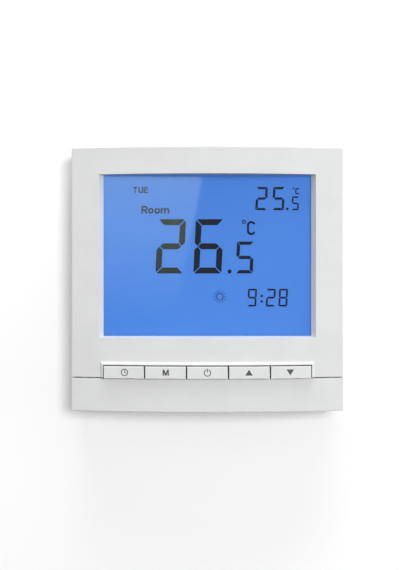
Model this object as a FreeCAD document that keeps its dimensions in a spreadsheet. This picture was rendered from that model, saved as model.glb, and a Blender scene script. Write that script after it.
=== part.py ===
import FreeCAD, Part
import math
import operator
import os
import types

import Sketcher

# Wall thermostat for a standard 86 mm wall box. X runs right, Y runs into the wall and Z runs up.
# The origin is the centre of the wall plane, so the case lies at negative Y and the rear housing,
# which sinks into the wall box, at positive Y. Depths named below are measured out from the wall
# in front of it, and reaches are measured into it.

DRIVING_SIZES = {
    # Case
    "case_width": 88.8, "case_height": 86.0, "edge_depth": 14.0, "front_radius": 283.4,
    "wall_gap": 0.4, "skin": 2.0, "seam_drop": 32.03, "seam_gap": 0.36, "edge_round": 0.4,
    "stock_depth": 19.0, "vent_length": 6.0, "vent_width": 1.6, "vent_pitch": 8.0,
    # Window opening and its lens
    "window_width": 68.0, "window_top": 34.0, "window_drop": 18.62, "window_rim": 3.5,
    "bevel_side": 3.7, "bevel_top": 0.14, "bevel_bottom": 0.97, "lens_depth": 13.3,
    "lens_thickness": 1.0, "lens_margin": 2.0, "lens_corner": 1.5, "lens_play": 0.1,
    "rim_front": 15.8, "rim_below": 2.8, "rim_above": 2.5,
    # Keys
    "key_pitch": 13.5, "key_gap": 0.4, "key_top_drop": 28.15, "key_height": 4.0, "key_proud": 1.2,
    "key_flange": 1.2, "key_slack": 0.1, "key_overhang": 1.1, "key_round": 0.25, "lip_height": 0.8,
    "lip_width": 1.0, "lip_bevel": 0.75, "seam_round": 0.25,
    "key_stem": 2.4,
    # Push switches
    "switch_side": 6.0, "switch_body": 3.5, "plunger_radius": 1.7, "plunger_proud": 0.8,
    "plunger_sunk": 1.4, "running_gap": 0.05, "plunger_room": 0.7,
    # Display stack, from the lens backwards
    "lcd_depth": 12.2, "lcd_plate": 1.1, "lcd_width": 71.2, "lcd_bottom_drop": 20.4,
    "lcd_top": 35.0, "lcd_ledge": 3.4, "sheet_thickness": 0.2, "guide_width": 70.0,
    "guide_top": 34.4, "guide_drop": 19.8, "frame_wall": 1.3, "frame_gap": 0.3, "led_size": 1.6,
    "led_width": 3.0, "led_pitch": 17.0, "zebra_gap": 0.5, "zebra_inset": 1.5, "zebra_height": 2.2,
    # Display board
    "board_depth": 7.5, "board_thickness": 1.6, "board_width": 83.0, "board_top": 40.2,
    "board_drop": 36.5, "boss_x": 40.3, "boss_top": 30.0, "boss_drop": 25.0, "boss_radius": 2.3,
    "pilot_radius": 0.9, "clear_radius": 1.1, "screw_radius": 0.85, "head_radius": 1.8,
    "head_height": 1.2, "screw_length": 4.4,
    # Side ribs that find the mounting plate's notches
    "rib_width": 4.4, "rib_height": 14.0, "rib_x": 39.2, "rib_gap": 0.3,
    # Mounting plate
    "plate_width": 81.0, "plate_height": 79.0, "plate_thickness": 1.2, "plate_corner": 3.0,
    "wall_screw_pitch": 60.0, "slot_length": 8.0, "slot_radius": 2.2,
    # Rear housing
    "tub_width": 47.0, "tub_chamfer": 7.0, "tub_wall": 1.8, "tub_reach": 26.0, "tub_floor": 2.0,
    "tab_width": 40.0, "tab_height": 6.5, "tab_thickness": 1.6, "tab_screw_x": 15.0,
    "tab_screw_z": 27.0, "tab_screw_radius": 1.5, "tab_hole_radius": 1.6, "opening_gap": 0.3,
    "cover_thickness": 1.2, "cover_gap": 0.2, "cover_sunk": 0.1, "socket_gap": 0.4, "post_side": 4.0,
    # Power board
    "power_reach": 9.0, "power_side": 42.6, "power_chamfer": 6.6,
    # Terminals
    "pole_pitch": 5.08, "block_width": 31.0, "block_front": 10.6, "block_back": 23.8,
    "block_low": 21.5, "block_high": 12.5, "pole_z": 17.0, "entry_y": 13.4, "entry_radius": 1.6,
    "cage_half_width": 1.95, "cage_half_length": 2.6, "cage_front": 11.1, "cage_floor": 0.8,
    "cage_head": 16.4, "cage_top": 17.8, "cage_side": 0.6, "cage_play": 0.1,
    "contact_front": 14.9, "contact_back": 15.9, "contact_half_width": 1.1,
    "contact_low": 19.9, "contact_high": 10.8, "chamber_roof": 0.6,
    "terminal_screw_tip": 16.0, "terminal_head_y": 21.6, "terminal_head": 1.2,
    "terminal_head_radius": 1.9, "terminal_screw_radius": 1.2, "driver_slot": 0.5,
    "driver_hole_radius": 2.3, "wire_play": 0.2,
    # Plug between the boards
    "pin_pitch": 2.54, "pin_side": 0.64, "pin_hole": 0.9, "pin_reach": 2.2, "socket_front": 2.5,
    "spacer_height": 2.5, "header_z": 14.0,
    # Tongues that hold the lower fascia behind the upper one, as depths and drops
    "tongue_inner": 36.4, "tongue_outer": 41.4, "tongue_low": 37.0, "tongue_high": 27.6,
    "tongue_root": 33.4, "tongue_front": 12.4, "root_front": 13.4, "tongue_back": 11.2,
    # Legs of the display frame
    "leg_pitch": 20.0, "leg_drop": 12.0, "leg_reach": 0.8, "leg_play": 0.2,
    # Parts behind the display board: edges of each outline and how far it stands up
    "chip_left": -19.0, "chip_right": -9.0, "chip_low": -3.0, "chip_high": 7.0, "chip_height": 1.5,
    "chip_standoff": 0.1, "lead_pitch": 0.5, "lead_width": 0.22, "lead_reach": 1.0,
    "lead_thickness": 0.2,
    "crystal_left": -1.0, "crystal_right": 2.2, "crystal_low": 0.0, "crystal_high": 7.0,
    "crystal_height": 1.3, "crystal_round": 1.2,
    "clip_left": -34.0, "clip_right": -18.0, "clip_low": 29.0, "clip_high": 33.0,
    "clip_height": 2.8, "clip_thickness": 0.4, "clip_foot": 1.5,
    "cell_radius": 6.25, "cell_thickness": 2.0, "cell_standoff": 0.4,
    "sensor_x": -33.0, "sensor_standoff": 0.3, "bead_low": -40.5, "bead_length": 2.2,
    "bead_radius": 1.1, "bead_round": 0.4, "sensor_pitch": 0.8, "sensor_lead_low": -38.5,
    "sensor_lead_high": -35.0, "sensor_lead_radius": 0.2, "solder_half": 0.3, "solder_height": 0.7,
    # Screw heads
    "cross_half_length": 1.2, "cross_half_width": 0.2, "cross_depth": 0.6, "thread_gap": 0.4,
    "tab_head_height": 1.2, "tab_head_radius": 2.6, "tab_slot_half": 0.35, "tab_slot_depth": 0.6,
    # Slots and posts of the inner cover
    "cover_slot_half": 12.0, "cover_slot_width": 1.6, "cover_slot_pitch": 4.0,
    "cover_slot_drop": 14.0, "post_x": 16.6,
    # Parts on the power board: edges of each outline and how far it stands up
    "relay_left": -20.0, "relay_right": 0.0, "relay_low": -6.5, "relay_high": 8.8,
    "relay_height": 10.2, "relay_round": 0.5,
    "film_left": -14.0, "film_right": 4.0, "film_low": 11.2, "film_high": 17.0,
    "film_height": 11.0, "film_round": 0.6,
    "core_left": 3.2, "core_right": 19.2, "core_low": -7.0, "core_high": 7.6,
    "core_standoff": 2.2, "core_height": 10.4, "core_side": 2.4, "core_leg": 4.0,
    "coil_gap": 0.1, "coil_wall": 1.0, "rail_width": 2.0,
    "large_can_x": -11.5, "large_can_z": 3.0, "large_can_radius": 4.0, "large_can_height": 8.6,
    "small_can_x": 13.0, "small_can_z": -9.0, "small_can_radius": 3.15, "small_can_height": 7.4,
    "can_round": 0.5,
    "varistor_x": 9.5, "varistor_low": 11.6, "varistor_radius": 3.6, "varistor_thickness": 4.0,
    "varistor_standoff": 5.2,
    "fuse_x": 17.6, "fuse_low": 9.8, "fuse_length": 6.5, "fuse_radius": 1.6, "fuse_standoff": 2.2,
    "fuse_wire_radius": 0.25, "fuse_leg_radius": 0.3, "fuse_wire_out": 0.4,
}
KEY_NAMES = ("clock", "mode", "power", "up", "down")
POLES = 6
PIN_COLUMNS = 5
PIN_ROWS = 2
FRAME_LEGS = 3
CHIP_LEADS = 16
COVER_SLOTS = 5
OVERCUT = 1  # how far a cutter runs past the faces that it opens

doc = FreeCAD.newDocument("wall_thermostat")
SYMBOLS = {"+": operator.add, "-": operator.sub, "*": operator.mul, "/": operator.truediv}


class Size:
    """A length in millimetres, kept with the sheet expression that gives it."""

    def __init__(self, value, text):
        self.value = value
        self.text = text

    def __add__(self, other):
        return joined(self, "+", other)

    def __sub__(self, other):
        return joined(self, "-", other)

    def __radd__(self, other):
        return joined(other, "+", self)

    def __rsub__(self, other):
        return joined(other, "-", self)

    def __mul__(self, other):
        return joined(self, "*", other)

    def __truediv__(self, other):
        return joined(self, "/", other)

    def __neg__(self):
        return Size(-self.value, f"(-{self.text})")

    def root(self):
        return Size(self.value ** 0.5, f"sqrt({self.text})")


def as_size(length):
    """A bare number counts as a size too."""
    return length if isinstance(length, Size) else Size(float(length), f"({float(length)})")


def joined(first, symbol, second):
    first = as_size(first)
    second = as_size(second)
    value = SYMBOLS[symbol](first.value, second.value)
    return Size(value, f"({first.text} {symbol} {second.text})")


def write_sheet():
    """Put the driving sizes in a sheet and give back each as a Size."""
    sheet = doc.addObject("Spreadsheet::Sheet", "Sizes")
    sizes = {}
    for row, (alias, value) in enumerate(DRIVING_SIZES.items(), start=1):
        sheet.set(f"A{row}", alias)
        sheet.set(f"B{row}", str(value))
        sheet.setAlias(f"B{row}", alias)
        sizes[alias] = Size(value, f"Sizes.{alias}")
    doc.recompute()
    return types.SimpleNamespace(**sizes)


s = write_sheet()
half_width = s.case_width / 2
half_height = s.case_height / 2
axis_y = (s.front_radius * s.front_radius - half_width * half_width).root() - s.edge_depth


def front_at(x, inset=0):
    """Y of the case's curved front at x, or of a surface that far behind it."""
    radius = s.front_radius - inset
    return axis_y - (radius * radius - as_size(x) * as_size(x)).root()


# ---------------------------------------------------------------- helpers for bodies and solids


def bind(thing, name, length):
    thing.setExpression(name, as_size(length).text)


def place_box(box, low, high):
    for axis, side, start, end in zip("xyz", ("Length", "Width", "Height"), low, high):
        bind(box, side, as_size(end) - start)
        bind(box, "Placement.Base." + axis, start)


def place_rod(rod, start, length, radius, along):
    """A round bar from its start point, along +Y or along +Z."""
    if along == "y":
        rod.Placement = FreeCAD.Placement(FreeCAD.Vector(), FreeCAD.Rotation(FreeCAD.Vector(1, 0, 0), -90))
    bind(rod, "Radius", radius)
    bind(rod, "Height", length)
    for axis, value in zip("xyz", start):
        bind(rod, "Placement.Base." + axis, value)


def new_body(name):
    body = doc.addObject("PartDesign::Body", name)
    body.Label = name
    return body


def origin_plane(body, role):
    return next(item for item in body.Origin.OriginFeatures if item.Role == role)


def add_box(body, low, high):
    box = body.newObject("PartDesign::AdditiveBox", "Block")
    place_box(box, low, high)
    return box


def cut_box(body, low, high):
    box = body.newObject("PartDesign::SubtractiveBox", "Opening")
    place_box(box, low, high)
    return box


def add_rod(body, start, length, radius, along="y"):
    rod = body.newObject("PartDesign::AdditiveCylinder", "Boss")
    place_rod(rod, start, length, radius, along)
    return rod


def cut_rod(body, start, length, radius, along="y"):
    rod = body.newObject("PartDesign::SubtractiveCylinder", "Bore")
    place_rod(rod, start, length, radius, along)
    return rod


def outline(body, role, level, corners, arcs=None):
    """A closed sketch through the corners on an origin plane moved to a level.

    arcs gives the radius of each side that is an arc, by the number of the corner it starts at.
    """
    sketch = body.newObject("Sketcher::SketchObject", "Outline")
    sketch.AttachmentSupport = [(origin_plane(body, role), "")]
    sketch.MapMode = "FlatFace"
    bind(sketch, "AttachmentOffset.Base.z", level)
    corners = [(as_size(across), as_size(up)) for across, up in corners]
    points = [FreeCAD.Vector(across.value, up.value, 0) for across, up in corners]
    count = len(points)
    for side, start in enumerate(points):
        end = points[(side + 1) % count]
        if arcs and side in arcs:
            sketch.addGeometry(arc_between(start, end, arcs[side].value))
        else:
            sketch.addGeometry(Part.LineSegment(start, end))
    for side in range(count):
        sketch.addConstraint(Sketcher.Constraint("Coincident", side, 2, (side + 1) % count, 1))
        for kind, length in zip(("DistanceX", "DistanceY"), corners[side]):
            number = sketch.addConstraint(Sketcher.Constraint(kind, -1, 1, side, 1, length.value))
            bind(sketch, f"Constraints[{number}]", length)
    for side, radius in (arcs or {}).items():
        number = sketch.addConstraint(Sketcher.Constraint("Radius", side, radius.value))
        bind(sketch, f"Constraints[{number}]", radius)
    return sketch


def arc_between(start, end, radius):
    """The arc of that radius from start to end that bows out to the right of the way it runs."""
    along = end - start
    half = along.Length / 2
    left = FreeCAD.Vector(-along.y, along.x, 0).normalize()
    centre = (start + end) / 2 + left * (radius * radius - half * half) ** 0.5
    return Part.Arc(start, centre - left * radius, end)


def extrude(body, kind, sketch, length, reverse=False):
    feature = body.newObject("PartDesign::" + kind, kind)
    feature.Profile = sketch
    feature.Reversed = reverse
    bind(feature, "Length", length)
    return feature


def edges_where(shape, test):
    return [f"Edge{number}" for number, edge in enumerate(shape.Edges, start=1) if test(edge)]


def round_edges(body, radius, test, kind="Fillet"):
    """Round or chamfer every edge of the body that passes the test."""
    doc.recompute()
    names = edges_where(body.Shape, test)
    if not names:
        raise RuntimeError(f"no edge to round on {body.Label}")
    rough = body.Tip
    feature = body.newObject("PartDesign::" + kind, kind)
    feature.Base = (rough, names)
    bind(feature, "Radius" if kind == "Fillet" else "Size", radius)
    return feature


def edge_middle(edge):
    return edge.valueAt((edge.FirstParameter + edge.LastParameter) / 2)


def near(first, second, slack=0.02):
    return abs(first - as_size(second).value) < slack


def box(name, low, high):
    solid = doc.addObject("Part::Box", name)
    place_box(solid, low, high)
    return solid


def rod(name, start, length, radius, along="y"):
    solid = doc.addObject("Part::Cylinder", name)
    place_rod(solid, start, length, radius, along)
    return solid


def fused(name, pieces):
    solid = doc.addObject("Part::MultiFuse", name)
    solid.Shapes = pieces
    solid.Label = name
    return solid


def gathered(name, pieces):
    """Separate solids that share one node."""
    group = doc.addObject("Part::Compound", name)
    group.Links = pieces
    group.Label = name
    return group


def cut(name, base, tools):
    solid = doc.addObject("Part::Cut", name)
    solid.Base = base
    solid.Tool = tools[0] if len(tools) == 1 else fused(name + "_tools", tools)
    solid.Label = name
    return solid


def mirrored(side, inner, outer):
    """Two places taken to one side of the middle, the lower one first."""
    return sorted((as_size(inner) * side, as_size(outer) * side), key=lambda size: size.value)


def footprint(part):
    """Left, right, low and high edges of a part's outline on its board."""
    return [getattr(s, f"{part}_{side}") for side in ("left", "right", "low", "high")]


def octagon(side, chamfer):
    """Corners of a square outline with its corners cut off."""
    half = as_size(side) / 2
    flat = half - chamfer
    return [(-flat, -half), (flat, -half), (half, -flat), (half, flat),
            (flat, half), (-flat, half), (-half, flat), (-half, -flat)]


# ---------------------------------------------------------------- case and window

seam_top = s.seam_gap / 2 - s.seam_drop
seam_bottom = seam_top - s.seam_gap
face_edge = -s.edge_depth


def add_shell(body, low, high, wall_below, wall_above):
    """The bowed case between two heights, hollow from behind, with its front left as a flat block."""
    block = [(-half_width, -s.stock_depth), (half_width, -s.stock_depth),
             (half_width, -s.wall_gap), (-half_width, -s.wall_gap)]
    extrude(body, "Pad", outline(body, "XY_Plane", low, block), high - low)
    inner = half_width - s.skin
    deep = front_at(inner, s.skin)
    hollow = [(-inner, deep), (inner, deep), (inner, 1), (-inner, 1)]
    sketch = outline(body, "XY_Plane", low + wall_below, hollow, {0: s.front_radius - s.skin})
    extrude(body, "Pocket", sketch, high - low - wall_below - wall_above, reverse=True)


def trim_front(body, low, high, lip_half=None):
    """Cut the block in front back to the bowed face, or to a raised lip inside lip_half."""
    beyond = -s.stock_depth - 1
    wide = half_width + 1
    edge = front_at(wide)
    if lip_half is None:
        face = [(-wide, edge), (wide, edge)]
        arcs = {0: s.front_radius}
    else:
        foot, crest = front_at(lip_half), front_at(lip_half, -s.lip_height)
        face = [(-wide, edge), (-lip_half, foot), (-lip_half, crest),
                (lip_half, crest), (lip_half, foot), (wide, edge)]
        arcs = {0: s.front_radius, 2: s.front_radius + s.lip_height, 4: s.front_radius}
    sketch = outline(body, "XY_Plane", low, face + [(wide, beyond), (-wide, beyond)], arcs)
    extrude(body, "Pocket", sketch, high - low, reverse=True)


def on_face(point):
    return near(point.y, front_at(min(abs(point.x), half_width.value)), 0.03)


def add_vents(body, low, high):
    """A row of slots for room air through a wall of the case."""
    first = -s.vent_pitch * 4 - s.vent_length / 2
    slot = cut_box(body, (first, -8, low), (first + s.vent_length, s.vent_width - 8, high))
    row = body.newObject("PartDesign::LinearPattern", "VentRow")
    row.Originals = [slot]
    row.Direction = (origin_plane(body, "X_Axis"), [""])
    row.Occurrences = 9
    bind(row, "Length", s.vent_pitch * 8)
    body.Tip = row


def make_front_fascia():
    body = new_body("front_fascia")
    add_shell(body, seam_top, half_height, as_size(0), s.skin)
    rim_half = s.window_width / 2 + s.window_rim
    add_box(body, (-rim_half, -s.rim_front, -s.window_drop - s.rim_below),
            (rim_half, -s.lens_depth, s.window_top + s.rim_above))
    for side in (-1, 1):
        for height in (s.boss_top, -s.boss_drop):
            add_rod(body, (s.boss_x * side, face_edge + s.skin, height),
                    s.edge_depth - s.board_depth - s.skin, s.boss_radius)
        low_x, high_x = mirrored(side, s.rib_x, half_width - s.skin / 2)
        for middle in (-s.rib_height, s.rib_height):
            add_box(body, (low_x, face_edge + s.skin, middle - s.rib_width / 2),
                    (high_x, -s.wall_gap, middle + s.rib_width / 2))
    key_half = s.key_pitch * 2.5 + s.key_gap / 4
    notch_top = s.key_gap - s.key_top_drop
    lip_top = notch_top + s.lip_width
    trim_front(body, seam_top - 1, lip_top, key_half + s.lip_width)
    trim_front(body, lip_top, half_height + 1)
    add_window_opening(body)
    seat = s.lens_margin + s.lens_play
    cut_box(body, (-s.window_width / 2 - seat, -s.lens_depth, -s.window_drop - seat),
            (s.window_width / 2 + seat, -s.lcd_depth + s.lcd_plate, s.window_top + seat))
    cut_box(body, (-key_half, -s.stock_depth, seam_top - 1),
            (key_half, -s.board_depth, notch_top))
    for side in (-1, 1):
        for height in (s.boss_top, -s.boss_drop):
            cut_rod(body, (s.boss_x * side, -s.board_depth - s.screw_length, height),
                    s.screw_length + 1, s.pilot_radius)
    add_vents(body, half_height - s.skin - 1, half_height + 1)
    round_edges(body, s.lip_bevel, lambda edge: is_lip_edge(edge, key_half + s.lip_width, lip_top),
                "Chamfer")
    round_edges(body, s.edge_round, is_outer_edge)
    return body


def is_lip_edge(edge, lip_half, lip_top):
    """The outer edges of the lip's crest, above the keys and at both ends of the row."""
    middle = edge_middle(edge)
    if not near(middle.y, front_at(middle.x, -s.lip_height), 0.03):
        return False
    return near(middle.z, lip_top) or near(abs(middle.x), lip_half)


def is_outer_edge(edge):
    middle = edge_middle(edge)
    if not on_face(middle):
        return False
    at_side = near(abs(middle.x), half_width)
    return at_side or near(abs(middle.z), half_height)


def add_window_opening(body):
    """The opening narrows from the face to the lens on all four sides."""
    wedge = body.newObject("PartDesign::SubtractiveWedge", "WindowOpening")
    half = s.window_width / 2
    sides = {
        "Xmin": -half - s.bevel_side, "Xmax": half + s.bevel_side,
        "Zmin": -s.window_drop - s.bevel_bottom, "Zmax": s.window_top + s.bevel_top,
        "Ymin": -s.stock_depth, "Ymax": -s.lens_depth,
        "X2min": -half, "X2max": half, "Z2min": -s.window_drop, "Z2max": s.window_top,
    }
    for side in ("Xmax", "Zmax", "X2max", "Z2max", "Ymin", "Xmin", "Zmin", "X2min", "Z2min", "Ymax"):
        setattr(wedge, side, sides[side].value)
    for side, length in sides.items():
        bind(wedge, side, length)


def is_seam_edge(edge):
    middle = edge_middle(edge)
    return on_face(middle) and near(middle.z, seam_bottom)


def make_lower_fascia():
    body = new_body("lower_fascia")
    add_shell(body, -half_height, seam_bottom, s.skin, as_size(0))
    trim_front(body, -half_height - 1, seam_bottom + 1)
    for side in (-1, 1):
        low_x, high_x = mirrored(side, s.tongue_inner, s.tongue_outer)
        for front, top in ((-s.tongue_front, -s.tongue_high), (-s.root_front, -s.tongue_root)):
            add_box(body, (low_x, front, -s.tongue_low), (high_x, -s.tongue_back, top))
    add_vents(body, -half_height - 1, -half_height + s.skin + 1)
    round_edges(body, s.seam_round, lambda edge: is_seam_edge(edge) or is_outer_edge(edge))
    return body


def make_display_window():
    body = new_body("display_window")
    half = s.window_width / 2 + s.lens_margin
    add_box(body, (-half, -s.lens_depth, -s.window_drop - s.lens_margin),
            (half, -s.lens_depth + s.lens_thickness, s.window_top + s.lens_margin))
    round_edges(body, s.lens_corner, lambda edge: near(edge.Length, s.lens_thickness))
    return body


# ---------------------------------------------------------------- keys and their switches

key_bottom = -s.key_top_drop - s.key_height
key_middle = -s.key_top_drop - s.key_height / 2


def key_centre(number):
    return s.key_pitch * (number - 2)


def make_key(number):
    """A key cap that follows the bowed face, with a flange behind the skin and a stem to its switch."""
    body = new_body("button_" + KEY_NAMES[number])
    middle = key_centre(number)
    half = (s.key_pitch - s.key_gap) / 2
    left, right = middle - half, middle + half
    outer = max(left, right, key=lambda side: abs(side.value))
    flange_back = front_at(outer, s.skin) + s.key_slack + s.key_flange
    cap_radius = s.front_radius + s.key_proud
    cap = [(left, front_at(left, -s.key_proud)), (right, front_at(right, -s.key_proud)),
           (right, flange_back), (left, flange_back)]
    extrude(body, "Pad", outline(body, "XY_Plane", key_bottom, cap, {0: cap_radius}), s.key_height)
    inner = s.skin + s.key_slack
    flange = [(left, front_at(left, inner)), (right, front_at(right, inner)),
              (right, flange_back), (left, flange_back)]
    sketch = outline(body, "XY_Plane", key_bottom - s.key_overhang, flange, {0: s.front_radius - inner})
    extrude(body, "Pad", sketch, s.key_height + s.key_overhang * 2)
    plunger_tip = -s.board_depth - s.switch_body - s.plunger_proud
    add_box(body, (middle - s.key_stem / 2, flange_back - 0.1, key_middle - s.key_stem / 2),
            (middle + s.key_stem / 2, plunger_tip - s.running_gap, key_middle + s.key_stem / 2))
    round_edges(body, s.key_round, lambda edge: is_cap_edge(edge, left, right))
    return body


def is_cap_edge(edge, left, right):
    middle = edge_middle(edge)
    on_front = near(middle.y, front_at(middle.x, -s.key_proud), 0.03)
    return on_front and left.value - 0.1 < middle.x < right.value + 0.1


def make_switch_bodies():
    """Five push-switch cases on the display board, each bored for its plunger."""
    half = s.switch_side / 2
    front = -s.board_depth - s.switch_body
    cases = []
    for number, key in enumerate(KEY_NAMES):
        middle = key_centre(number)
        case = box("switch_case_" + key, (middle - half, front, key_middle - half),
                   (middle + half, -s.board_depth, key_middle + half))
        bore = rod("switch_bore_" + key, (middle, front - OVERCUT, key_middle),
                   s.plunger_sunk + s.plunger_room + OVERCUT, s.plunger_radius + s.running_gap)
        cases.append(cut("switch_" + key, case, [bore]))
    return gathered("switch_bodies", cases)


def make_plunger(number):
    front = -s.board_depth - s.switch_body - s.plunger_proud
    return rod("switch_plunger_" + KEY_NAMES[number], (key_centre(number), front, key_middle),
               s.plunger_proud + s.plunger_sunk, s.plunger_radius)


# ---------------------------------------------------------------- display stack

lcd_left = -s.lcd_width / 2
lcd_bottom = -s.lcd_bottom_drop
rear_plate_front = s.lcd_plate - s.lcd_depth
diffuser_front = rear_plate_front + s.lcd_plate
guide_front = diffuser_front + s.sheet_thickness
reflector_front = -s.board_depth - s.sheet_thickness
board_front = -s.board_depth
board_back = s.board_thickness - s.board_depth


def make_lcd_front_glass():
    """The front plate stands above the rear one, to leave a ledge for the contact strip."""
    body = new_body("lcd_front_glass")
    add_box(body, (lcd_left, -s.lcd_depth, lcd_bottom),
            (-lcd_left, rear_plate_front, s.lcd_top + s.lcd_ledge))
    return body


def make_lcd_rear_glass():
    body = new_body("lcd_rear_glass")
    add_box(body, (lcd_left, rear_plate_front, lcd_bottom), (-lcd_left, diffuser_front, s.lcd_top))
    return body


def make_zebra_strip():
    """The rubber strip that joins the glass's ledge to the board."""
    edge = s.lcd_top + s.zebra_gap
    half = s.lcd_width / 2 - s.zebra_inset
    return box("zebra_strip", (-half, rear_plate_front, edge), (half, board_front, edge + s.zebra_height))


def make_sheet(name, front):
    half = s.guide_width / 2
    return box(name, (-half, front, -s.guide_drop), (half, front + s.sheet_thickness, s.guide_top))


def make_light_guide():
    body = new_body("light_guide")
    half = s.guide_width / 2
    add_box(body, (-half, guide_front, -s.guide_drop), (half, reflector_front, s.guide_top))
    return body


def make_backlight_leds():
    """Four lamps on the board that shine up into the guide's lower edge."""
    top = -s.guide_drop - s.sheet_thickness / 2
    lamps = []
    for number in range(4):
        left = s.led_pitch * (number - 1.5) - s.led_width / 2
        lamps.append(box(f"led_{number + 1}", (left, board_front - s.led_size, top - s.led_size),
                         (left + s.led_width, board_front, top)))
    return gathered("backlight_leds", lamps)


def make_lcd_frame():
    """A ring that holds the glass and the light guide against the board."""
    body = new_body("lcd_frame")
    inner = s.lcd_width / 2 + s.frame_gap
    outer = inner + s.frame_wall
    low = -s.guide_drop - s.led_size - s.sheet_thickness * 2
    high = s.lcd_top + s.lcd_ledge + s.frame_gap
    add_box(body, (-outer, s.sheet_thickness / 2 - s.lcd_depth, low - s.frame_wall),
            (outer, board_front, high + s.frame_wall))
    cut_box(body, (-inner, -s.lcd_depth - OVERCUT, low), (inner, board_front + OVERCUT, high))
    for side in (-1, 1):
        low_x, high_x = mirrored(side, outer - s.frame_wall, outer)
        for height in leg_heights():
            add_box(body, (low_x, board_front - s.leg_reach, height - s.frame_wall),
                    (high_x, board_back + s.leg_reach, height + s.frame_wall))
    return body


def leg_heights():
    return [s.leg_pitch * number - s.leg_drop for number in range(FRAME_LEGS)]


def make_display_board():
    """The board stops short of the fascia's side ribs and is bored for screws and frame legs."""
    body = new_body("display_board")
    half = s.board_width / 2
    add_box(body, (-half, board_front, -s.board_drop), (half, board_back, s.board_top))
    frame_outer = s.lcd_width / 2 + s.frame_gap + s.frame_wall
    for side in (-1, 1):
        for height in (s.boss_top, -s.boss_drop):
            cut_rod(body, (s.boss_x * side, board_front - OVERCUT, height),
                    s.board_thickness + OVERCUT * 2, s.clear_radius)
        notch = mirrored(side, s.rib_x - s.rib_gap, half + OVERCUT)
        for middle in (-s.rib_height, s.rib_height):
            reach = s.rib_width / 2 + s.rib_gap
            cut_box(body, (notch[0], board_front - OVERCUT, middle - reach),
                    (notch[1], board_back + OVERCUT, middle + reach))
        leg = mirrored(side, frame_outer - s.frame_wall - s.leg_play, frame_outer + s.leg_play)
        reach = s.frame_wall + s.leg_play
        for height in leg_heights():
            cut_box(body, (leg[0], board_front - OVERCUT, height - reach),
                    (leg[1], board_back + OVERCUT, height + reach))
    return body


def make_board_screws():
    """Four screws from behind the board into the fascia's bosses."""
    screws = []
    for side in (-1, 1):
        for height in (s.boss_top, -s.boss_drop):
            centre = s.boss_x * side
            number = len(screws) + 1
            tip = board_front - s.screw_length + s.thread_gap
            shank = rod(f"board_shank_{number}", (centre, tip, height),
                        s.screw_length + s.board_thickness, s.screw_radius)
            head = rod(f"board_head_{number}", (centre, board_back, height), s.head_height, s.head_radius)
            floor = board_back + s.head_height - s.cross_depth
            top = board_back + s.head_height + OVERCUT
            wide, narrow = s.cross_half_length, s.cross_half_width
            recess = box(f"board_recess_{number}", (centre - wide, floor, height - narrow),
                         (centre + wide, top, height + narrow))
            cross = box(f"board_cross_{number}", (centre - narrow, floor, height - wide),
                        (centre + narrow, top, height + wide))
            screw = fused(f"board_bolt_{number}", [shank, head])
            screws.append(cut(f"board_screw_{number}", screw, [recess, cross]))
    return gathered("display_board_screws", screws)


def make_microcontroller():
    """A square package with a row of leads on each side, drawn as strips that run right across."""
    left, right, low, high = footprint("chip")
    pieces = [box("chip_case", (left, board_back + s.chip_standoff, low),
                  (right, board_back + s.chip_height, high))]
    half = s.lead_width / 2
    top = board_back + s.lead_thickness
    for lead in range(CHIP_LEADS):
        offset = s.lead_pitch * (lead - (CHIP_LEADS - 1) / 2)
        x, z = (left + right) / 2 + offset, (low + high) / 2 + offset
        pieces += [box(f"lead_row_{lead}", (left - s.lead_reach, board_back, z - half),
                       (right + s.lead_reach, top, z + half)),
                   box(f"lead_column_{lead}", (x - half, board_back, low - s.lead_reach),
                       (x + half, top, high + s.lead_reach))]
    return fused("microcontroller", pieces)


def make_clock_crystal():
    """A small flat can with rounded ends."""
    body = new_body("clock_crystal")
    left, right, low, high = footprint("crystal")
    add_box(body, (left, board_back, low), (right, board_back + s.crystal_height, high))
    round_edges(body, s.crystal_round, lambda edge: near(edge.Length, s.crystal_height))
    return body


def make_coin_cell():
    left, right, low, high = footprint("clip")
    centre = ((left + right) / 2, board_back + s.cell_standoff, (low + high) / 2)
    return rod("coin_cell", centre, s.cell_thickness, s.cell_radius)


def make_coin_cell_clip():
    """A folded strip that presses the cell to the board."""
    left, right, low, high = footprint("clip")
    top = board_back + s.clip_height
    thick = s.clip_thickness
    strip = {
        "bridge": (left, right, top - thick, top),
        "leg_left": (left, left + thick, board_back, top),
        "leg_right": (right - thick, right, board_back, top),
        "foot_left": (left - s.clip_foot, left + thick, board_back, board_back + thick),
        "foot_right": (right - thick, right + s.clip_foot, board_back, board_back + thick),
    }
    return fused("coin_cell_clip", [box("clip_" + name, (start, front, low), (end, back, high))
                                    for name, (start, end, front, back) in strip.items()])


def make_room_sensor():
    """A bead on two leads that hangs in the air below the board, by the vents."""
    depth = board_back + s.sensor_standoff
    bead = doc.addObject("Part::Fillet", "sensor_bead")
    bead.Base = rod("sensor_core", (s.sensor_x, depth, s.bead_low), s.bead_length, s.bead_radius, "z")
    bead.Edges = [(edge, s.bead_round.value, s.bead_round.value) for edge in (1, 3)]
    pieces = [bead]
    for name, side in (("left", -1), ("right", 1)):
        x = s.sensor_x + s.sensor_pitch / 2 * side
        half = s.solder_half
        pieces += [rod("sensor_lead_" + name, (x, depth, s.sensor_lead_low),
                       s.sensor_lead_high - s.sensor_lead_low, s.sensor_lead_radius, "z"),
                   box("sensor_solder_" + name, (x - half, board_back, s.sensor_lead_high - half * 2),
                       (x + half, board_back + s.solder_height, s.sensor_lead_high + half * 2))]
    return fused("room_sensor", pieces)


def pin_places():
    """Centres of the plug's pins across and up, in two rows."""
    for column in range(PIN_COLUMNS):
        for row in range(PIN_ROWS):
            yield s.pin_pitch * (column - (PIN_COLUMNS - 1) / 2), s.pin_pitch * (row - 0.5) + s.header_z


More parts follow.
